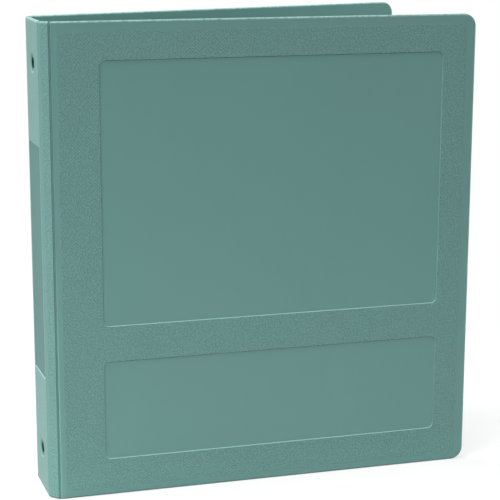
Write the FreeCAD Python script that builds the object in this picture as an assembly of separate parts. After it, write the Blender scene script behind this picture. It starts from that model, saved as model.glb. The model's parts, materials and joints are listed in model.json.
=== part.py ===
import FreeCAD, Part
import math
import os

os.makedirs("parts", exist_ok=True)
V = FreeCAD.Vector

# Album of moulded plastic standing upright: +Z up, spine facing -X, front cover facing -Y.
# The origin is at the foot of the spine, half way through its wall and half way along its depth.
# All sizes are in millimetres and degrees.

# Moulded case
case_height = 292.0      # foot to head
cover_reach = 273.9      # outer face of the spine to the free edge of a closed cover
spine_depth = 51.5       # outer face to outer face of the closed covers
wall = 2.6               # wall of spine, strips and covers
edge_round = 0.9         # rounding of head, foot and free edges
free_corner = 8.0        # radius of the free corners of the covers
front_turn = 1.5         # how far the front cover stands open at rest
back_turn = 13.0         # how far the back cover stands open at rest

# Living hinges: a narrow strip folds against the spine and against its cover, by equal angles
closed_turn = 90.0       # from the spine to a closed cover
strip_pitch = 6.0        # between the two fold lines of a strip
spine_fold_depth = 0.5   # fold line of spine and strip below the outer face of the strip
spine_rise = 0.85        # outer face of the spine above a strip that lies flat beside it
cover_fold_depth = 1.0   # fold line of strip and cover below their outer faces
spine_flank = 66.0       # bevels along the folds of the spine, from square
groove_flank = 24.0      # flanks of the outer grooves on the strips, from square
cover_flank = 45.0       # flanks of the outer grooves on the covers
fold_gap = 0.3           # slit between the inner lips of a closed fold
bead_radius = 0.3        # web that stays at the bottom of a groove
bead_clearance = 0.12    # web to the lips on both sides

# Sunk label panels
panel_sink = 0.5         # depth of every panel
panel_slant = 0.5        # sideways run of the panel walls
panel_corner = 4.0       # corner radius of the cover panels
panel_width = 218.0      # both cover panels
panel_inset = 28.6       # fold line of the cover to the near side of its panels
upper_panel_height = 161.5
lower_panel_height = 62.5
panel_margin = 23.0      # foot of the cover to the lower panel, head to the upper one
spine_panel_height = 143.0
spine_panel_margin = 4.6   # fold lines of the spine to its panel
spine_panel_corner = 0.8

# Rivets through the spine
dish_radius = 6.6        # mouth of the dish round each rivet
dish_floor = 3.6         # flat floor of the dish
dish_sink = 0.8          # depth of the dish
boss_radius = 5.2        # pad inside the spine behind each dish
boss_height = 1.0
shank_radius = 2.5       # rivet shank
bore_radius = 1.7        # hollow end of the rivet
bore_depth = 6.0
flange_radius = 3.2      # rolled rim of the rivet in the dish
flange_height = 0.3
flange_round = 0.2
head_radius = 4.0        # closed head of the rivet on the housing
head_height = 1.5
post_wall = 0.8          # tube between spine and housing
rivet_clearance = 0.05   # shank to every hole it passes

# Ring mechanism, heights counted from the inner face of the spine
ring_spacing = 108.0     # between the rings, as the pages are punched
ring_to_rivet = 12.2     # end rings to the rivets
rivet_to_pin = 10.5      # rivets to the lever pins
pin_to_end = 3.0         # lever pins to the ends of the housing
housing_corner = 3.0     # corner radius of the housing seen from inside the album
sheet = 0.8              # sheet of the housing
arch_height = 8.8        # top of the housing
pivot_height = 4.2       # outer edges of the blades
pivot_half = 10.4        # outer edges of the blades from the middle
pivot_clearance = 0.12   # blade edge to the curled rim of the housing
blade_thick = 1.0
blade_slope = 5.8        # tilt of a blade below level, the same above level when open
blade_split = 0.3        # between the two blades
post_clearance = 0.9     # blades round the posts

# Rings
ring_inside = 24.8       # clear diameter
wire = 3.2               # ring wire
ring_bend = 3.5          # bend of the wire where it enters the housing
ring_turn = 140.0        # round part of each half, from the tip
leg_rise = 0.8           # straight leg of the wire above the blade
tenon_radius = 1.1       # end of the wire riveted through the blade
tenon_head_radius = 1.7
tenon_head_height = 0.5
tenon_clearance = 0.05
tip_gap = 0.2            # between the closed tips
peg_radius = 0.8         # peg on the front tip, at its root
peg_tip_radius = 0.55
peg_root = 0.4           # root of the peg inside the wire
peg_length = 1.4         # peg past the tip
peg_clearance = 0.15
slot_clearance = 0.45    # housing round the wire

# Levers
lever_width = 11.0
lever_thick = 1.6
lever_rise = 8.0         # straight part of the arm above the pin
lever_bend = 8.0         # bend of the arm towards the finger end
lever_turn = 55.0
lever_end = 3.5          # straight finger end
finger_corner = 3.0
pin_radius = 1.0
pin_rise = 1.8           # pin above the blade edges
pin_clearance = 0.08
hub_wall = 1.2
lip_width = 6.0
lip_reach = 4.2          # lips past the pin, over and under the blades
lip_thick = 0.8
lower_lip = 4.4          # pin to the top of the lower lip
upper_lip = 1.2          # pin to the underside of the upper lip
blade_end = 2.9          # pin to the ends of the blades
notch_clearance = 0.5    # housing round the lever

# Places worked out from the sizes above
middle = case_height / 2
spine_out = -wall / 2
spine_in = wall / 2
front_out = -spine_depth / 2
fold = math.radians(closed_turn / 2)
fold_step = cover_fold_depth - spine_fold_depth
spine_drop = spine_fold_depth + spine_rise
strip_along = strip_pitch * math.cos(fold) + fold_step * math.sin(fold)
strip_out = strip_pitch * math.sin(fold) - fold_step * math.cos(fold)
cover_fold = (spine_out + spine_drop + strip_along, front_out + cover_fold_depth)
spine_fold = (cover_fold[0] - strip_along, cover_fold[1] + strip_out)
spine_pitch = -2 * spine_fold[1]
cover_length = spine_out + cover_reach - cover_fold[0]
spine_slope = math.tan(math.radians(spine_flank))
groove_slope = math.tan(math.radians(groove_flank))
cover_slope = math.tan(math.radians(cover_flank))
over = 2 * wall          # cutters and blanks reach this far past the finished pieces
post_radius = shank_radius + rivet_clearance + post_wall
wire_radius = wire / 2
ring_radius = ring_inside / 2 + wire_radius
ring_names = ["bottom", "middle", "top"]
ring_heights = [middle - ring_spacing, middle, middle + ring_spacing]
rivet_heights = [ring_heights[0] - ring_to_rivet, ring_heights[-1] + ring_to_rivet]
pin_foot = rivet_heights[0] - rivet_to_pin
housing_foot = pin_foot - pin_to_end
housing_length = 2 * (middle - housing_foot)
curl_inside = blade_thick / 2 + pivot_clearance
curl_outside = curl_inside + sheet
pin_height = pivot_height + pin_rise
hub_radius = pin_radius + pin_clearance + hub_wall
opening_angle = 2 * blade_slope

# The arch of the housing runs into its curled rims without a kink.
apex = arch_height - sheet / 2 - (curl_inside + sheet / 2)
arch_centre = (apex ** 2 - pivot_half ** 2 - pivot_height ** 2) / (2 * (apex - pivot_height))
arch_outside = arch_height - arch_centre
arch_inside = arch_outside - sheet
rim_angle = math.atan2(pivot_half, pivot_height - arch_centre)


def polar(centre, radius, angle):
    """Point at an angle in radians counted from the height axis towards +Y, as (y, height)."""
    return (centre[0] + radius * math.sin(angle), centre[1] + radius * math.cos(angle))


def at(point, z=0.0):
    """Point of the mechanism's cross-section, given as (y, height), in space."""
    return V(spine_in + point[1], point[0], z)


def line(a, b, z=0.0):
    return Part.makeLine(at(a, z), at(b, z))


def arc(a, b, c, z=0.0):
    return Part.Arc(at(a, z), at(b, z), at(c, z)).toShape()


def round_rectangle(width, height, radius):
    """Rounded outline round the origin in the XY plane."""
    x = width / 2
    y = height / 2
    k = radius * (1 - math.sqrt(0.5))
    corners = [(x, y, 1, 1), (-x, y, -1, 1), (-x, -y, -1, -1), (x, -y, 1, -1)]
    edges = []
    last = None
    for cx, cy, sx, sy in corners:
        across = V(cx - sx * radius, cy, 0)
        along = V(cx, cy - sy * radius, 0)
        first, second = (along, across) if sx * sy > 0 else (across, along)
        if last is not None:
            edges.append(Part.makeLine(last, first))
        edges.append(Part.Arc(first, V(cx - sx * k, cy - sy * k, 0), second).toShape())
        last = second
    edges.append(Part.makeLine(last, edges[0].Vertexes[0].Point))
    return Part.Wire(edges)


def sunk_panel(width, height, radius):
    """Cutter for a panel round the origin, sunk towards +Z, with slanted walls."""
    outlines = []
    for depth in (-panel_sink, panel_sink):
        grow = panel_slant * (panel_sink - depth) / panel_sink - panel_slant
        outline = round_rectangle(width + 2 * grow, height + 2 * grow, radius + grow)
        outline.translate(V(0, 0, depth))
        outlines.append(outline)
    return Part.makeLoft(outlines, True, True)


def upright_prism(points):
    """Prism over the whole height of the case on an outline in the XY plane."""
    corners = [V(x, y, -over) for x, y in points]
    outline = Part.makePolygon(corners + corners[:1])
    return Part.Face(outline).extrude(V(0, 0, case_height + 2 * over))


def fold_line(place, radius, foot, head):
    """Round bar along a fold line."""
    return Part.makeCylinder(radius, head - foot, V(*place, foot))


def fold_cutter(depth, flank):
    """What a fold takes from the start of a plate along +X with its outer face at Y 0."""
    mitre = math.tan(fold / 2)
    lip = fold_gap / 2 / math.cos(fold / 2)
    rise = lip / (flank + mitre)
    outline = [
        (-over, -over),
        ((depth + over) * flank, -over),
        (rise * flank, depth - rise),
        (lip + (wall + over - depth) * mitre, wall + over),
        (-over, wall + over),
    ]
    socket = fold_line((0, depth), bead_radius + bead_clearance, -over, case_height + over)
    return upright_prism(outline).fuse(socket)


def folded_plate(length, near_depth, far_depth, flank):
    """Plate along +X between two fold lines, with its outer face at Y 0."""
    plate = Part.makeBox(length + 2 * over, wall, case_height, V(-over, 0, 0))
    plate = plate.makeFillet(edge_round, [e for e in plate.Edges if e.BoundBox.XLength > length])
    near = fold_cutter(near_depth, flank)
    far = fold_cutter(far_depth, flank).mirror(V(length / 2, 0, 0), V(1, 0, 0))
    return plate.cut(near).cut(far)


def to_back(shape):
    """The same piece on the back of the album."""
    return shape.mirror(V(0, 0, 0), V(0, 1, 0))


def to_head(shape):
    """The same piece at the other end of the album."""
    return shape.mirror(V(0, 0, middle), V(0, 0, 1))


def at_front(piece):
    """Open a closed piece about the fold line of the spine by half the turn of the front cover."""
    piece.rotate(V(*spine_fold, 0), V(0, 0, -1), front_turn / 2)
    return piece


def at_back(piece):
    """Open a closed piece by half the turn of the back cover and carry it over to the back."""
    piece.rotate(V(*spine_fold, 0), V(0, 0, -1), back_turn / 2)
    return to_back(piece)


def spine():
    body = folded_plate(spine_pitch, spine_drop, spine_drop, spine_slope)
    body = body.mirror(V(0, 0, 0), V(1, -1, 0))
    body.translate(V(spine_out, spine_fold[1], 0))
    panel = sunk_panel(spine_panel_height, spine_pitch - 2 * spine_panel_margin, spine_panel_corner)
    panel.rotate(V(0, 0, 0), V(0, 1, 0), 90)
    panel.translate(V(spine_out, 0, middle))
    body = body.cut(panel)
    for z in rivet_heights:
        boss = Part.makeCylinder(boss_radius, wall / 2 + boss_height, V(0, 0, z), V(1, 0, 0))
        grow = dish_radius - dish_floor
        dish = Part.makeCone(dish_radius + grow, dish_floor, 2 * dish_sink,
                             V(spine_out - dish_sink, 0, z), V(1, 0, 0))
        hole = Part.makeCylinder(shank_radius + rivet_clearance, 2 * over, V(-over, 0, z), V(1, 0, 0))
        body = body.fuse(boss).cut(dish).cut(hole)
    return body.removeSplitter()


def hinge_strip():
    """Closed strip between the spine and the front cover."""
    strip = folded_plate(strip_pitch, spine_fold_depth, cover_fold_depth, groove_slope)
    strip.translate(V(0, -spine_fold_depth, 0))
    strip.rotate(V(0, 0, 0), V(0, 0, -1), closed_turn / 2)
    strip.translate(V(*spine_fold, 0))
    return strip


def cover_blank():
    """Closed front cover without panels."""
    plate = Part.makeBox(cover_length + over, wall, case_height, V(-over, 0, 0))
    free = [e for e in plate.Edges if e.BoundBox.YLength > wall / 2 and e.CenterOfMass.x > 0]
    plate = plate.makeFillet(free_corner, free)
    rims = [e for e in plate.Edges if e.BoundBox.YLength < wall / 2 and e.BoundBox.XMax > 0]
    plate = plate.makeFillet(edge_round, rims).cut(fold_cutter(cover_fold_depth, cover_slope))
    plate.translate(V(cover_fold[0], front_out, 0))
    return plate


def front_cover():
    cover = cover_blank()
    x = cover_fold[0] + panel_inset + panel_width / 2
    low = panel_margin + lower_panel_height / 2
    high = case_height - panel_margin - upper_panel_height / 2
    for z, height in ((low, lower_panel_height), (high, upper_panel_height)):
        panel = sunk_panel(panel_width, height, panel_corner)
        panel.rotate(V(0, 0, 0), V(1, 0, 0), -90)
        panel.translate(V(x, front_out, z))
        cover = cover.cut(panel)
    cover.rotate(V(*cover_fold, 0), V(0, 0, -1), front_turn / 2)
    return at_front(cover)


def back_cover():
    cover = cover_blank()
    cover.rotate(V(*cover_fold, 0), V(0, 0, -1), back_turn / 2)
    return at_back(cover)


def fold_web(place):
    """Thin web left at the bottom of a groove."""
    return fold_line(place, bead_radius, edge_round, case_height - edge_round)


def housing():
    """Arched sheet with curled rims, open for the rings, the levers, their pins and the rivets."""
    pivot = (pivot_half, pivot_height)
    centre = (0.0, arch_centre)
    half_turn = (rim_angle + math.pi) / 2

    def mirrored(p):
        return (-p[0], p[1])

    def rim(radius):
        return [polar(pivot, radius, a) for a in (rim_angle, half_turn, math.pi)]

    outer = rim(curl_outside)
    inner = rim(curl_inside)
    edges = [
        arc(mirrored(outer[0]), polar(centre, arch_outside, 0), outer[0], housing_foot),
        arc(*outer, housing_foot),
        line(outer[2], inner[2], housing_foot),
        arc(*reversed(inner), housing_foot),
        arc(inner[0], polar(centre, arch_inside, 0), mirrored(inner[0]), housing_foot),
        arc(*[mirrored(p) for p in inner], housing_foot),
        line(mirrored(inner[2]), mirrored(outer[2]), housing_foot),
        arc(*[mirrored(p) for p in reversed(outer)], housing_foot),
    ]
    body = Part.Face(Part.Wire(edges)).extrude(V(0, 0, housing_length))
    plan = Part.Face(round_rectangle(housing_length, 2 * (pivot_half + curl_outside), housing_corner))
    plan = plan.extrude(V(0, 0, 2 * arch_height))
    plan.rotate(V(0, 0, 0), V(0, 1, 0), 90)
    plan.translate(V(spine_in, 0, middle))
    body = body.common(plan)
    for z in ring_heights:
        body = body.cut(ring_slot(z)).cut(to_back(ring_slot(z)))
    notch = lever_notch().fuse(lever_bar(pin_radius + rivet_clearance, 2 * pivot_half))
    body = body.cut(notch).cut(to_head(notch))
    for z in rivet_heights:
        body = body.cut(Part.makeCylinder(shank_radius + rivet_clearance, 2 * arch_height,
                                          V(spine_in, 0, z), V(1, 0, 0)))
    return body


def ring_slot(z):
    """Slot in the housing for one front half ring over its whole swing."""
    bend = bend_centre()
    joint = math.pi - math.radians(ring_turn)
    points = [polar(bend, ring_bend, a) for a in (bend_angle(), (bend_angle() + joint) / 2)]
    sides = [p[0] for p in points + [swung(p) for p in points]]
    reach = wire_radius + slot_clearance
    low = min(sides) - reach
    width = max(sides) + reach - low
    base = V(spine_in + pivot_height + curl_inside, low, z - reach)
    return Part.makeBox(arch_height, width, 2 * reach, base)


def swung(point):
    """Point of the front blade's cross-section when the rings are open."""
    angle = math.radians(opening_angle)
    y = point[0] + pivot_half
    rise = point[1] - pivot_height
    return (
        -pivot_half + y * math.cos(angle) - rise * math.sin(angle),
        pivot_height + rise * math.cos(angle) + y * math.sin(angle),
    )


def bend_centre():
    """Centre of the small bend of a front half ring, outside its round part."""
    return polar((0.0, ring_height()), ring_radius + ring_bend, -math.radians(ring_turn))


def bend_angle():
    """Where the bend ends and the leg stands square on the closed blade."""
    return math.pi / 2 + math.radians(blade_slope)


def ring_height():
    """Centre of the rings, so that the legs end on the closed blades."""
    turn = math.radians(ring_turn)
    slope = math.radians(blade_slope)
    reach = ring_radius + ring_bend
    foot = -reach * math.sin(turn) + ring_bend * math.cos(slope) - leg_rise * math.sin(slope)
    drop = reach * math.cos(turn) - ring_bend * math.sin(slope) - leg_rise * math.cos(slope)
    blade = pivot_height - (pivot_half + foot) * math.tan(slope)
    return blade + blade_thick / 2 / math.cos(slope) - drop


def leg_foot():
    """Where the leg of a front half ring stands on its blade."""
    slope = math.radians(blade_slope)
    end = polar(bend_centre(), ring_bend, bend_angle())
    return (end[0] - leg_rise * math.sin(slope), end[1] - leg_rise * math.cos(slope))


def leg_bar(radius, z, start, end):
    """Round bar on the axis of a front leg, between two distances below its foot."""
    slope = math.radians(blade_slope)
    foot = leg_foot()
    down = V(-math.cos(slope), -math.sin(slope), 0)
    return Part.makeCylinder(radius, end - start, at(foot, z) + down * start, down)


def blade():
    """Front blade with the rings closed: it dips from the curled rim towards the middle."""
    slope = math.radians(blade_slope)
    length = pivot_half - blade_split / 2
    half = blade_thick / 2
    foot = pin_foot + blade_end

    def place(along, up):
        y = -pivot_half + along * math.cos(slope) + up * math.sin(slope)
        return (y, pivot_height - along * math.sin(slope) + up * math.cos(slope))

    edges = [
        line(place(0, half), place(length, half), foot),
        line(place(length, half), place(length, -half), foot),
        line(place(length, -half), place(0, -half), foot),
        arc(place(0, -half), place(-half, 0), place(0, half), foot),
    ]
    body = Part.Face(Part.Wire(edges)).extrude(V(0, 0, case_height - 2 * foot))
    for z in rivet_heights:
        body = body.cut(Part.makeCylinder(post_radius + post_clearance, 2 * arch_height,
                                          V(spine_in, 0, z), V(1, 0, 0)))
    for z in ring_heights:
        body = body.cut(leg_bar(tenon_radius + tenon_clearance, z, -wire, wire))
    return body


def half_ring(z):
    """Front half of a closed ring: leg, bend and round part of the wire, riveted at its foot."""
    centre = (0.0, ring_height())
    turn = math.radians(ring_turn)
    start = math.asin(tip_gap / 2 / ring_radius)
    bend = bend_centre()
    foot = leg_foot()
    end = polar(bend, ring_bend, bend_angle())
    joint = polar(bend, ring_bend, math.pi - turn)
    path = Part.Wire([
        line(foot, end, z),
        arc(end, polar(bend, ring_bend, (bend_angle() + math.pi - turn) / 2), joint, z),
        arc(joint, polar(centre, ring_radius, -(start + turn) / 2), polar(centre, ring_radius, -start), z),
    ])
    section = Part.Wire(Part.makeCircle(wire_radius, at(foot, z), at(end, z) - at(foot, z)))
    body = path.makePipeShell([section], True, True)
    tenon = leg_bar(tenon_radius, z, -leg_rise / 2, blade_thick + tenon_head_height)
    head = leg_bar(tenon_head_radius, z, blade_thick, blade_thick + tenon_head_height)
    return body.fuse(tenon).fuse(head).removeSplitter()


def tip_peg(z, grow):
    """Tapered peg across the meeting tips."""
    base = at((-tip_gap / 2 - peg_root, ring_height() + ring_radius), z)
    length = peg_root + peg_length + grow
    return Part.makeCone(peg_radius + grow, peg_tip_radius + grow, length, base, V(0, 1, 0))


def lever_bar(radius, half):
    """Round bar on the axis of the bottom lever."""
    return Part.makeCylinder(radius, 2 * half, at((-half, pin_height), pin_foot), V(0, 1, 0))


def pin_half():
    """Half length of a lever pin, just proud of the housing on both sides."""
    return math.sqrt(arch_outside ** 2 - (pin_height - arch_centre) ** 2) + pin_radius / 2


def lever_notch():
    """Opening at the foot of the housing for the bottom lever."""
    width = lever_width + 2 * notch_clearance
    length = pin_to_end + lip_reach + notch_clearance
    return Part.makeBox(2 * arch_height, width, length + over, V(spine_in, -width / 2, housing_foot - over))


def lever_box(inner, outer, low, high, width):
    """Block on the bottom lever, by distances past the pin and above it."""
    base = V(spine_in + pin_height + low, -width / 2, pin_foot - outer)
    return Part.makeBox(high - low, width, outer - inner, base)


def lever():
    """Bottom lever with the rings closed: bent finger arm, hub and two lips for the blades."""
    half = lever_thick / 2
    turn = math.radians(lever_turn)

    def place(past, rise):
        return V(spine_in + pin_height + rise, -lever_width / 2, pin_foot - past)

    def bent(offset, angle, past=0.0):
        radius = lever_bend + offset
        return place(lever_bend - radius * math.cos(angle) + past * math.sin(angle),
                     lever_rise + radius * math.sin(angle) + past * math.cos(angle))

    edges = [
        Part.makeLine(place(-half, 0), place(-half, lever_rise)),
        Part.Arc(bent(half, 0), bent(half, turn / 2), bent(half, turn)).toShape(),
        Part.makeLine(bent(half, turn), bent(half, turn, lever_end)),
        Part.Arc(bent(half, turn, lever_end), bent(0, turn, lever_end + half),
                 bent(-half, turn, lever_end)).toShape(),
        Part.makeLine(bent(-half, turn, lever_end), bent(-half, turn)),
        Part.Arc(bent(-half, turn), bent(-half, turn / 2), bent(-half, 0)).toShape(),
        Part.makeLine(place(half, lever_rise), place(half, 0)),
        Part.makeLine(place(half, 0), place(-half, 0)),
    ]
    arm = Part.Face(Part.Wire(edges)).extrude(V(0, lever_width, 0))
    tip = arm.BoundBox.XMax
    plan = Part.Face(round_rectangle(2 * (tip - spine_in - pin_height), lever_width, finger_corner))
    plan = plan.extrude(V(0, 0, 2 * case_height))
    plan.translate(V(spine_in + pin_height, 0, -case_height))
    body = arm.common(plan).fuse(lever_bar(hub_radius, lever_width / 2))
    body = body.fuse(lever_box(-lip_reach, 0, -upper_lip, lip_thick - upper_lip, lip_width))
    body = body.fuse(lever_box(-lip_reach, 0, -lower_lip - lip_thick, -lower_lip, lip_width))
    body = body.fuse(lever_box(-lip_thick, 0, -lower_lip - lip_thick, 0, lip_width))
    return body.cut(lever_bar(pin_radius + pin_clearance, lever_width)).removeSplitter()


def arch_bar(radius):
    """Round bar on the axis of the arch of the housing."""
    return Part.makeCylinder(radius, case_height, V(spine_in + arch_centre, 0, 0))


def rivet(z):
    """Tubular rivet: rolled rim in the dish outside, shank, closed head on the housing."""
    floor = spine_out + dish_sink
    out = V(1, 0, 0)
    flange = Part.makeCylinder(flange_radius, flange_height, V(floor - flange_height, 0, z), out)
    rim = [e for e in flange.Edges if e.BoundBox.XMax < floor - flange_height / 2]
    flange = flange.makeFillet(flange_round, rim)
    top = spine_in + arch_height
    shank = Part.makeCylinder(shank_radius, top - floor, V(floor, 0, z), out)
    dome_radius = (head_radius ** 2 + head_height ** 2) / (2 * head_height)
    dome = Part.makeSphere(dome_radius, V(top + head_height - dome_radius, 0, z))
    head = Part.makeCylinder(head_radius, 2 * head_height, V(top - sheet, 0, z), out).common(dome)
    head = head.cut(arch_bar(arch_outside))
    bore = Part.makeCylinder(bore_radius, flange_height + bore_depth, V(floor - flange_height, 0, z), out)
    return flange.fuse(shank).fuse(head).cut(bore).removeSplitter()


def post(z):
    """Tube round the rivet that carries the housing on the pad of the spine."""
    base = V(spine_in + boss_height, 0, z)
    tube = Part.makeCylinder(post_radius, arch_height, base, V(1, 0, 0))
    hole = Part.makeCylinder(shank_radius + rivet_clearance, arch_height, base, V(1, 0, 0))
    return tube.cut(hole).common(arch_bar(arch_inside))


def build():
    web = fold_web(spine_fold)
    plate = blade()
    bottom_lever = lever()
    bottom_pin = lever_bar(pin_radius, pin_half())
    pieces = {
        "spine": spine(),
        "front_hinge_strip": at_front(hinge_strip()),
        "back_hinge_strip": at_back(hinge_strip()),
        "front_cover": front_cover(),
        "back_cover": back_cover(),
        "front_spine_web": web,
        "back_spine_web": to_back(web),
        "front_cover_web": at_front(fold_web(cover_fold)),
        "back_cover_web": at_back(fold_web(cover_fold)),
        "ring_housing": housing(),
        "front_blade": plate,
        "back_blade": to_back(plate),
        "bottom_lever": bottom_lever,
        "top_lever": to_head(bottom_lever),
        "bottom_lever_pin": bottom_pin,
        "top_lever_pin": to_head(bottom_pin),
    }
    for name, z in zip(ring_names, ring_heights):
        half = half_ring(z)
        pieces[name + "_ring_front"] = half.fuse(tip_peg(z, 0.0)).removeSplitter()
        pieces[name + "_ring_back"] = to_back(half).cut(tip_peg(z, peg_clearance))
    for name, z in zip(("bottom", "top"), rivet_heights):
        pieces[name + "_rivet"] = rivet(z)
        pieces[name + "_post"] = post(z)
    return pieces


for name, shape in build().items():
    shape.exportStep("parts/" + name + ".step")
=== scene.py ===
import json
import math
from typing import NamedTuple

import bpy
from mathutils import Matrix, Vector

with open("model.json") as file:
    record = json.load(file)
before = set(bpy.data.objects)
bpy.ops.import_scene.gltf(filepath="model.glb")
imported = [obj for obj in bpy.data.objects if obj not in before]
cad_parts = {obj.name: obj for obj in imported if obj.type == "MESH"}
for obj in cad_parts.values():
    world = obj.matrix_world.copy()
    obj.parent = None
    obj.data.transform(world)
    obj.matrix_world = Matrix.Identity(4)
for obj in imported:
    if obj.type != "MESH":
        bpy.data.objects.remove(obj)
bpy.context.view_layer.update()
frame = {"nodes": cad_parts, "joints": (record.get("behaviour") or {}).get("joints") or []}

MM = 0.001

# Camera of the photograph, in the frame of the part
CAMERA_PLACE = Vector((-173.75, -942.7, 364.3)) * MM
CAMERA_YAW = math.radians(18.142)
CAMERA_PITCH = math.radians(12.564)
CAMERA_ROLL = math.radians(0.169)
FOCAL_PIXELS = 1598.5
IMAGE_PIXELS = 500
SENSOR_MM = 36.0

# Floor and light
FLOOR_RADIUS = 0.5
FLOOR_SIDES = 96         # straight sides of the round floor
FLOOR_ALBEDO = 0.92
FLOOR_GLOW = 0.6         # share of plain white in what the camera sees of the floor
SKY_LIGHT = 0.2          # soft light from all round
LAMP_AIM = Vector((0.10, 0.0, 0.15))
LAMPS = {                # place, side and power of the soft square lamps
    "top": ((-0.7, -0.1, 2.4), 1.6, 87.0),
    "left": ((-2.0, -0.2, 0.6), 1.4, 3.6),
    "low": ((-0.45, -0.24, 0.03), 0.25, 1.25),
    "right": ((1.7, -1.6, 1.2), 1.4, 14.0),
    "rim": ((-0.9, 2.3, 1.1), 0.9, 4.0),
}

# Noises: size of a patch, its finer detail, and the scale of the axes where they differ
NOISE_MEAN = 0.5
FINE = dict(size=0.5 * MM, detail=1.0)
CLOUD = dict(size=60.0 * MM, detail=3.0)
SCUFF = dict(size=2.5 * MM, detail=4.0, roughness=0.7, scale=(1.0, 1.0, 0.12))
DRAWN = dict(size=0.35 * MM, detail=3.0, roughness=0.6)
METAL_CLOUD = dict(size=14.0 * MM, detail=3.0)
GRIT = dict(size=0.3 * MM, detail=2.0)
TARNISH = dict(size=3.0 * MM, detail=4.0, roughness=0.65)

# Moulded grain of the case
PEBBLE = 1.4 * MM        # size of one pebble
PEBBLE_RANDOMNESS = 0.5
PEBBLE_DOME = (0.58, 0.12)   # distance from its middle, in pebbles, at the foot and top of a dome
PEBBLE_MEAN = 0.4
PEBBLE_HEIGHT = 0.22 * MM
FINE_HEIGHT = 0.055 * MM
SCUFF_HEIGHT = 0.004 * MM

# Zones of a plate
EDGE = 0.9 * MM          # worn edge, lighter and whiter partly from wear and partly as a painted highlight
EDGE_BLUR = 0.5 * MM
PANEL_BORDER = 4.0 * MM  # sunk panels and dishes lie at least this far from the edges
PANEL_BLUR = 0.3 * MM

# Ramps from 0 to 1 below the outer face of a plate
GRAINED = (0.2 * MM, 0.04 * MM)
WALL_STARTS = (0.04 * MM, 0.12 * MM)
WALL_ENDS = (0.5 * MM, 0.42 * MM)
SUNK_STARTS = (0.3 * MM, 0.45 * MM)
SUNK_ENDS = (1.4 * MM, 1.2 * MM)
INSIDE = (1.5 * MM, 2.2 * MM)

# Ramps from 0 to 1 above the foot of a plate, along a cover from its fold, and over the scuffs
FOOT = (1.4 * MM, 0.7 * MM)
LIP_HIGHLIGHT_SPAN = (0.62, 0.22)       # painted lip highlight, in shares of the height
LIP = (1.2 * MM, 0.7 * MM)
LIP_SIDE = (4.0 * MM, 3.0 * MM)
RUBBED = (0.30, 0.62)

# Shade of the plastic, as changes to a plain shade of 1
CASE_TEAL = (91, 135, 130)
PEBBLE_SHADE = 0.34      # a pebble against the gaps round it
CLOUD_SHADE = 0.07
SCUFF_SHADE = 0.03
# worn edges: lighter, partly real wear and partly a painted highlight
WEAR_AND_HIGHLIGHT_SHADE = 0.3
# painted light: inner faces lighter, standing in for light that falls between the covers
INSIDE_PAINTED_LIGHT = 0.5
WALL_PAINTED_LIGHT = 0.1         # painted light on all walls of panels and dishes
LEDGE_PAINTED_LIGHT = 0.8        # painted light on walls that face up
EAVE_PAINTED_SHADE = 1.1          # painted shade on walls that face down
# painted contact shadow along the foot edge
FOOT_PAINTED_SHADOW = 0.4
# painted shade along the lip of the groove
LIP_PAINTED_SHADE = 0.1
# painted sheen: lighter band beside the lip of the groove
LIP_SIDE_PAINTED_SHEEN = 0.07
LIP_PAINTED_HIGHLIGHT = 0.32     # painted highlight on the lower part of a lip
WEAR_AND_HIGHLIGHT_WHITE = 0.12        # white added to the colour at worn edges: partly wear, partly a painted highlight
# painted highlight: white added on walls that face up
LEDGE_PAINTED_HIGHLIGHT = 0.12

# Gloss of the plastic
CASE_IOR = 1.5
SATIN_ROUGH = 0.46
PEBBLE_ROUGH = 0.54
CLOUD_ROUGH = 0.06
SCUFF_ROUGH = 0.10
INSIDE_ROUGH = 0.16
LIP_ROUGH = 0.2
WEAR_POLISH = 0.12

# Nickel of the ring mechanism
NICKEL = (205, 202, 194)
NICKEL_SHADES = (0.94, 1.04)
NICKEL_ROUGH = (0.16, 0.30)
DRAWN_SHADE = 0.06
DRAWN_HEIGHT = 0.004 * MM
METAL_CLOUD_ROUGH = 0.08
ROLLED = (1.0, 1.0, 0.03)    # marks along sheet and blades
POLISHED = (1.0, 1.0, 0.5)   # marks on rings and levers

# Blackened rivets, tinted dark teal partly as painted shade of the dish they sit in
RIVET_BLACK_AND_SHADE = (8, 40, 33)
RIVET_SHADES = (0.7, 1.4)
RIVET_ROUGH = (0.75, 0.55)
RIVET_GLOSS = 0.01
GRIT_SHADE = 0.2
GRIT_HEIGHT = 0.01 * MM


class Finish(NamedTuple):
    """How one kind of plate is finished."""

    margins: tuple             # smooth border at near side, far side, foot and head, in mm
    corner: float              # radius of the grained field within the border, in mm
    grain: float               # strength of the grain
    panel_shade: float = 1.0   # shade of a sunk panel; a darker one is duller by as much
    painted_light_top: float = 1.0      # height up to which the plate is painted lighter, in mm
    fade: float = 0.0          # how much lighter the painted light makes it near its foot
    is_cover: bool = False     # has a worn free edge, partly a painted highlight, and the lip of a groove


COVER = Finish((3.6, 6.3, 4.8, 6.3), 3.0, 1.0, painted_light_top=24.0, fade=0.07, is_cover=True)
STRIP = Finish((0.2, 0.2, 1.2, 1.2), 0.1, 0.8, painted_light_top=90.0, fade=0.1)
WEB = Finish((0.2, 0.2, 1.2, 1.2), 0.1, 0.0)
SPINE = Finish((0.8, 0.8, 2.5, 2.5), 0.5, 0.5, panel_shade=0.7)
PAINTED_LIGHT_FULL = 0.2                # share of the top height below which the painted foot light is full
STRIP_FOLD = math.radians(45.0)


def srgb(colour):
    """Linear colour of an 8-bit display colour."""
    def linear(value):
        value = value / 255
        return value / 12.92 if value <= 0.04045 else ((value + 0.055) / 1.055) ** 2.4

    return [linear(value) for value in colour]


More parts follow.
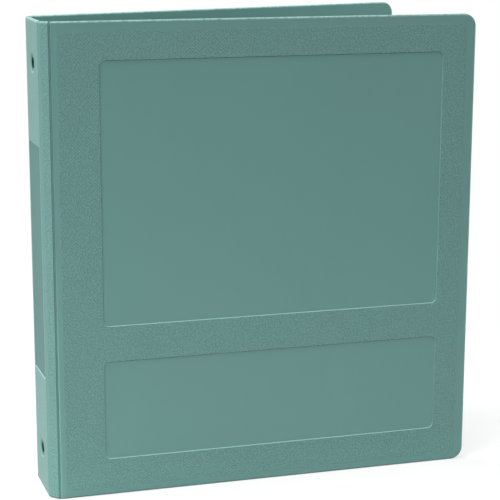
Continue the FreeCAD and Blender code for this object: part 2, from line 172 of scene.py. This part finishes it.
class Term:
    """Output of a shader node, usable in sums."""

    def __init__(self, graph, socket):
        self.graph = graph
        self.socket = socket

    def __add__(self, other):
        return self.graph.math("ADD", self, other)

    def __sub__(self, other):
        return self.graph.math("SUBTRACT", self, other)

    def __rsub__(self, other):
        return self.graph.math("SUBTRACT", other, self)

    def __mul__(self, other):
        return self.graph.math("MULTIPLY", self, other)

    __radd__ = __add__
    __rmul__ = __mul__


class Graph:
    """Node tree of a material."""

    def __init__(self, name):
        self.material = bpy.data.materials.new(name)
        self.material.use_nodes = True
        self.tree = self.material.node_tree
        self.shader = self.tree.nodes["Principled BSDF"]

    def node(self, kind, inputs, **settings):
        node = self.tree.nodes.new(kind)
        for name, value in settings.items():
            setattr(node, name, value)
        for name, value in inputs.items():
            self.feed(node.inputs[name], value)
        return node

    def feed(self, socket, value):
        if isinstance(value, Term):
            self.tree.links.new(value.socket, socket)
        else:
            socket.default_value = value

    def math(self, operation, a, b=0.0):
        node = self.node("ShaderNodeMath", {0: a, 1: b}, operation=operation)
        return Term(self, node.outputs[0])

    def positive(self, value):
        return self.math("MAXIMUM", value, 0.0)

    def step(self, value, low, high):
        """0 below low and 1 above high, smooth between; falls where low is above high."""
        rising = low < high
        ends = (low, high, 0.0, 1.0) if rising else (high, low, 1.0, 0.0)
        names = ("From Min", "From Max", "To Min", "To Max")
        inputs = dict(zip(names, ends), Value=value)
        node = self.node("ShaderNodeMapRange", inputs, interpolation_type="SMOOTHSTEP")
        return Term(self, node.outputs["Result"])

    def spread(self, value, low, high):
        """Carry 0 to 1 over to low to high."""
        return value * (high - low) + low

    def coordinates(self, angle=0.0, shift=(0.0, 0.0, 0.0), scale=(1.0, 1.0, 1.0)):
        """Place in the frame of the part, scaled, turned about Z and moved."""
        place = self.node("ShaderNodeTexCoord", {})
        inputs = {
            "Vector": Term(self, place.outputs["Object"]),
            "Location": shift,
            "Rotation": (0.0, 0.0, angle),
            "Scale": scale,
        }
        node = self.node("ShaderNodeMapping", inputs, vector_type="POINT")
        return Term(self, node.outputs["Vector"])

    def parts(self, vector):
        node = self.node("ShaderNodeSeparateXYZ", {"Vector": vector})
        return [Term(self, output) for output in node.outputs]

    def upward(self):
        """How much the face looks up, from -1 to 1."""
        place = self.node("ShaderNodeTexCoord", {})
        return self.parts(Term(self, place.outputs["Normal"]))[2]

    def noise(self, size, detail, roughness=0.5, scale=(1.0, 1.0, 1.0)):
        """Soft noise from about 0 to 1 with patches of a given size."""
        inputs = {
            "Vector": self.coordinates(scale=scale),
            "Scale": 1 / size,
            "Detail": detail,
            "Roughness": roughness,
        }
        node = self.node("ShaderNodeTexNoise", inputs)
        return Term(self, node.outputs["Fac"])

    def pebbles(self, across, up):
        """Height of a flat field of uneven domes, 0 between them and about 1 on top."""
        # Sum and difference turn the field by an eighth, so that its rows run slantwise.
        slant = self.node("ShaderNodeCombineXYZ", {"X": across + up, "Y": up - across})
        inputs = {
            "Vector": Term(self, slant.outputs["Vector"]),
            "Scale": math.sqrt(0.5) / PEBBLE,
            "Randomness": PEBBLE_RANDOMNESS,
        }
        node = self.node("ShaderNodeTexVoronoi", inputs, feature="F1", voronoi_dimensions="2D")
        return self.step(Term(self, node.outputs["Distance"]), *PEBBLE_DOME)

    def tint(self, colour, factor):
        """Colour made lighter or darker by a factor."""
        inputs = {0: colour, "Scale": factor}
        node = self.node("ShaderNodeVectorMath", inputs, operation="SCALE")
        return Term(self, node.outputs["Vector"])

    def bleach(self, colour, amount):
        """Colour with some white added."""
        node = self.node("ShaderNodeVectorMath", {0: colour, 1: amount}, operation="ADD")
        return Term(self, node.outputs["Vector"])

    def bump(self, height):
        """Normal bent by a height in metres."""
        inputs = {"Height": height, "Strength": 1.0, "Distance": 1.0}
        node = self.node("ShaderNodeBump", inputs)
        return Term(self, node.outputs["Normal"])

    def surface(self, colour, roughness, height):
        self.feed(self.shader.inputs["Base Color"], colour)
        self.feed(self.shader.inputs["Roughness"], roughness)
        self.feed(self.shader.inputs["Normal"], self.bump(height))


class Plate:
    """Place on a plate of the case: along it, below its outer face and up from its foot."""

    def __init__(self, graph, node, angle, flip):
        turn = Matrix.Rotation(angle, 3, "Z") @ Matrix.Diagonal((1.0, flip, 1.0))
        points = [turn @ vertex.co for vertex in frame["nodes"][node].data.vertices]
        low = Vector([min(p[i] for p in points) for i in range(3)])
        high = Vector([max(p[i] for p in points) for i in range(3)])
        place = graph.coordinates(angle, tuple(-low), (1.0, flip, 1.0))
        self.graph = graph
        self.size = high - low
        self.along, self.depth, self.up = graph.parts(place)

    def below(self, start, end):
        """Ramp from 0 at one depth to 1 at another."""
        return self.graph.step(self.depth, start, end)

    def within(self, border, radius, blur):
        """1 inside a border at near side, far side, foot and head with round corners, else 0."""
        near, far, foot, head = border
        g = self.graph
        gaps = []
        ends = ((self.along, near, self.size.x - far), (self.up, foot, self.size.z - head))
        for value, a, b in ends:
            off = g.math("ABSOLUTE", value - (a + b) / 2)
            gaps.append(off - ((b - a) / 2 - radius))
        inside = g.math("MINIMUM", g.math("MAXIMUM", *gaps), 0.0)
        beyond = [g.positive(gap) for gap in gaps]
        square = beyond[0] * beyond[0] + beyond[1] * beyond[1]
        return g.step(g.math("SQRT", square) + inside - radius, blur, -blur)


def case_plastic(node, angle, flip, finish):
    """Moulded plastic of a plate: pebbled outside within its margins, satin elsewhere."""
    g = Graph(node + "_plastic")
    plate = Plate(g, node, angle, flip)
    margins = [margin * MM for margin in finish.margins]
    field = plate.within(margins, finish.corner * MM, EDGE_BLUR)
    grained = field * plate.below(*GRAINED) * finish.grain
    far_edge = EDGE if finish.is_cover else -EDGE
    core = plate.within((-EDGE, far_edge, EDGE, EDGE), EDGE, EDGE_BLUR)
    middle = plate.within([PANEL_BORDER] * 4, EDGE, PANEL_BLUR)
    sunk = plate.below(*SUNK_STARTS) * plate.below(*SUNK_ENDS) * middle
    wall = plate.below(*WALL_STARTS) * plate.below(*WALL_ENDS) * middle
    # Inner faces: duller, and lighter as painted light
    inside = plate.below(*INSIDE)
    foot = g.step(plate.up, *FOOT)
    # Painted light: lighter towards the foot, standing in for light from below
    painted_light_top = finish.painted_light_top * MM
    fade = g.step(plate.up, painted_light_top, PAINTED_LIGHT_FULL * painted_light_top) * finish.fade

    pebble = g.pebbles(plate.along, plate.up)
    fine = g.noise(**FINE)
    cloud = g.noise(**CLOUD)
    scuff = g.noise(**SCUFF)
    # Worn edges at random: partly real wear, partly a painted highlight on the rims
    wear_and_highlight = (1 - core) * g.step(scuff, *RUBBED) * (1 - foot)
    upward = g.upward()
    # Painted light and shade on the walls of panels and dishes: lighter facing up, darker facing
    # down
    painted_lit_ledge = wall * g.positive(upward)
    painted_shaded_eave = wall * g.positive(0.0 - upward)

    height = (pebble * PEBBLE_HEIGHT + fine * FINE_HEIGHT) * grained + scuff * SCUFF_HEIGHT
    shade = 1 + (cloud - NOISE_MEAN) * CLOUD_SHADE + (scuff - NOISE_MEAN) * SCUFF_SHADE
    shade = shade + (pebble - PEBBLE_MEAN) * grained * PEBBLE_SHADE
    shade = shade + wear_and_highlight * WEAR_AND_HIGHLIGHT_SHADE + inside * INSIDE_PAINTED_LIGHT + fade
    shade = shade + wall * WALL_PAINTED_LIGHT + painted_lit_ledge * LEDGE_PAINTED_LIGHT - painted_shaded_eave * EAVE_PAINTED_SHADE
    # The sunk spine panel is darker; a painted contact shadow darkens the foot edge
    shade = shade * g.spread(sunk, 1.0, finish.panel_shade) * (1 - foot * FOOT_PAINTED_SHADOW)
    rough = g.spread(grained, SATIN_ROUGH, PEBBLE_ROUGH)
    rough = rough + (cloud - NOISE_MEAN) * CLOUD_ROUGH + (scuff - NOISE_MEAN) * SCUFF_ROUGH
    rough = rough + sunk * (1 - finish.panel_shade) + inside * INSIDE_ROUGH - wear_and_highlight * WEAR_POLISH
    if finish.is_cover:
        # Painted shade along the lip of the groove; the lip is duller too
        lip = g.step(plate.along, *LIP)
        # Lighter band beside the lip, a painted sheen
        side = g.step(plate.along, *LIP_SIDE) * (1 - lip)
        # Painted highlight along the lower part of the lip
        painted_lip_highlight = lip * g.step(plate.up, *(share * plate.size.z for share in LIP_HIGHLIGHT_SPAN))
        shade = shade * (1 - lip * LIP_PAINTED_SHADE) + side * LIP_SIDE_PAINTED_SHEEN + painted_lip_highlight * LIP_PAINTED_HIGHLIGHT
        rough = rough + lip * LIP_ROUGH
    white = wear_and_highlight * WEAR_AND_HIGHLIGHT_WHITE + painted_lit_ledge * LEDGE_PAINTED_HIGHLIGHT
    g.surface(g.bleach(g.tint(srgb(CASE_TEAL), shade), white), rough, height)
    g.shader.inputs["IOR"].default_value = CASE_IOR
    return g.material


def nickel(name, marks):
    """Plated steel with fine marks, drawn out along the axes of small scale."""
    g = Graph(name)
    drawn = g.noise(**DRAWN, scale=marks)
    cloud = g.noise(**METAL_CLOUD)
    shade = g.spread(cloud, *NICKEL_SHADES) + (drawn - NOISE_MEAN) * DRAWN_SHADE
    rough = g.spread(drawn, *NICKEL_ROUGH) + (cloud - NOISE_MEAN) * METAL_CLOUD_ROUGH
    g.surface(g.tint(srgb(NICKEL), shade), rough, drawn * DRAWN_HEIGHT)
    g.shader.inputs["Metallic"].default_value = 1.0
    return g.material


def blackened_and_shaded():
    """Blackened rivet metal, dull and a little worn; its dark teal is partly painted shade of the
    dish.
    """
    g = Graph("blackened_metal_and_shade")
    grit = g.noise(**GRIT)
    tarnish = g.noise(**TARNISH)
    shade = g.spread(tarnish, *RIVET_SHADES) + (grit - NOISE_MEAN) * GRIT_SHADE
    rough = g.spread(tarnish, *RIVET_ROUGH)
    g.surface(g.tint(srgb(RIVET_BLACK_AND_SHADE), shade), rough, grit * GRIT_HEIGHT)
    g.shader.inputs["Specular IOR Level"].default_value = RIVET_GLOSS
    return g.material


def dress(material, *names):
    """Give a material to CAD nodes."""
    for name in names:
        slots = frame["nodes"][name].data.materials
        for index in range(len(slots)):
            slots[index] = material


def rest_turn(joint_name):
    """How far a joint stands at rest past its closed position."""
    joint = next(j for j in frame["joints"] if j["name"] == joint_name)
    return -math.radians(joint["range_deg"][0])


def dress_plate(name, angle, flip, finish):
    """Dress a plate. A flip of Y and then a turn about Z bring its outer face to -Y."""
    dress(case_plastic(name, angle, flip, finish), name)


def dress_case():
    for side, flip in (("front", 1.0), ("back", -1.0)):
        strip_turn = rest_turn(side + "_strip_hinge")
        cover_turn = strip_turn + rest_turn(side + "_cover_hinge")
        dress_plate(side + "_cover", cover_turn, flip, COVER)
        dress_plate(side + "_hinge_strip", STRIP_FOLD + strip_turn, flip, STRIP)
        dress_plate(side + "_spine_web", 0.0, flip, WEB)
        dress_plate(side + "_cover_web", 0.0, flip, WEB)
    dress_plate("spine", math.pi / 2, 1.0, SPINE)


def dress_mechanism():
    dress(nickel("rolled_nickel", ROLLED), "ring_housing", "front_blade", "back_blade")
    bright = nickel("bright_nickel", POLISHED)
    for end in ("bottom", "top"):
        dress(bright, end + "_lever", end + "_lever_pin", end + "_post")
    for ring in ("bottom", "middle", "top"):
        dress(bright, ring + "_ring_front", ring + "_ring_back")
    dress(blackened_and_shaded(), "bottom_rivet", "top_rivet")


def background_rays(tree):
    """1 for rays from the camera and from mirror-like or clear surfaces, else 0."""
    path = tree.nodes.new("ShaderNodeLightPath")
    total = path.outputs["Is Camera Ray"]
    for name in ("Is Glossy Ray", "Is Transmission Ray"):
        larger = tree.nodes.new("ShaderNodeMath")
        larger.operation = "MAXIMUM"
        tree.links.new(total, larger.inputs[0])
        tree.links.new(path.outputs[name], larger.inputs[1])
        total = larger.outputs[0]
    return total


def build_world():
    """Plain white for what looks at it, less for the light it gives."""
    world = bpy.data.worlds.new("studio")
    world.use_nodes = True
    tree = world.node_tree
    background = tree.nodes["Background"]
    background.inputs["Color"].default_value = (1.0, 1.0, 1.0, 1.0)
    strength = tree.nodes.new("ShaderNodeMapRange")
    strength.inputs["To Min"].default_value = SKY_LIGHT
    strength.inputs["To Max"].default_value = 1.0
    tree.links.new(background_rays(tree), strength.inputs["Value"])
    tree.links.new(strength.outputs["Result"], background.inputs["Strength"])
    bpy.context.scene.world = world


def floor_white():
    """White paint that glows a little for what looks at it and keeps soft shadows."""
    material = bpy.data.materials.new("floor_white")
    material.use_nodes = True
    tree = material.node_tree
    tree.nodes.clear()
    output = tree.nodes.new("ShaderNodeOutputMaterial")
    paint = tree.nodes.new("ShaderNodeBsdfDiffuse")
    paint.inputs["Color"].default_value = (FLOOR_ALBEDO, FLOOR_ALBEDO, FLOOR_ALBEDO, 1.0)
    glow = tree.nodes.new("ShaderNodeEmission")
    share = tree.nodes.new("ShaderNodeMath")
    share.operation = "MULTIPLY"
    share.inputs[1].default_value = FLOOR_GLOW
    mix = tree.nodes.new("ShaderNodeMixShader")
    tree.links.new(background_rays(tree), share.inputs[0])
    tree.links.new(share.outputs[0], mix.inputs["Fac"])
    tree.links.new(paint.outputs[0], mix.inputs[1])
    tree.links.new(glow.outputs[0], mix.inputs[2])
    tree.links.new(mix.outputs[0], output.inputs["Surface"])
    return material


def build_floor():
    angles = [2 * math.pi * index / FLOOR_SIDES for index in range(FLOOR_SIDES)]
    corners = [(FLOOR_RADIUS * math.cos(a), FLOOR_RADIUS * math.sin(a), 0) for a in angles]
    mesh = bpy.data.meshes.new("floor")
    mesh.from_pydata(corners, [], [range(FLOOR_SIDES)])
    mesh.materials.append(floor_white())
    floor = bpy.data.objects.new("floor", mesh)
    bpy.context.scene.collection.objects.link(floor)


def build_lamps():
    """Soft square lamps, aimed at the part and unseen by the camera."""
    for name, (place, size, power) in LAMPS.items():
        lamp = bpy.data.lights.new(name, "AREA")
        lamp.shape = "SQUARE"
        lamp.size = size
        lamp.energy = power
        holder = bpy.data.objects.new(name, lamp)
        holder.location = place
        holder.rotation_euler = (LAMP_AIM - Vector(place)).to_track_quat("-Z", "Y").to_euler()
        holder.visible_camera = False
        bpy.context.scene.collection.objects.link(holder)


def build_camera():
    data = bpy.data.cameras.new("camera")
    data.sensor_width = SENSOR_MM
    data.lens = FOCAL_PIXELS * SENSOR_MM / IMAGE_PIXELS
    level = Vector((math.sin(CAMERA_YAW), math.cos(CAMERA_YAW), 0.0))
    ahead = level * math.cos(CAMERA_PITCH) - Vector((0, 0, 1)) * math.sin(CAMERA_PITCH)
    right = Vector((math.cos(CAMERA_YAW), -math.sin(CAMERA_YAW), 0.0))
    axes = Matrix((right, right.cross(ahead), -ahead)).transposed()
    turn = axes @ Matrix.Rotation(CAMERA_ROLL, 3, "Z")
    camera = bpy.data.objects.new("camera", data)
    camera.matrix_world = Matrix.Translation(CAMERA_PLACE) @ turn.to_4x4()
    bpy.context.scene.collection.objects.link(camera)
    bpy.context.scene.camera = camera


bpy.context.scene.view_settings.view_transform = "Standard"
dress_case()
dress_mechanism()
build_world()
build_floor()
build_lamps()
build_camera()
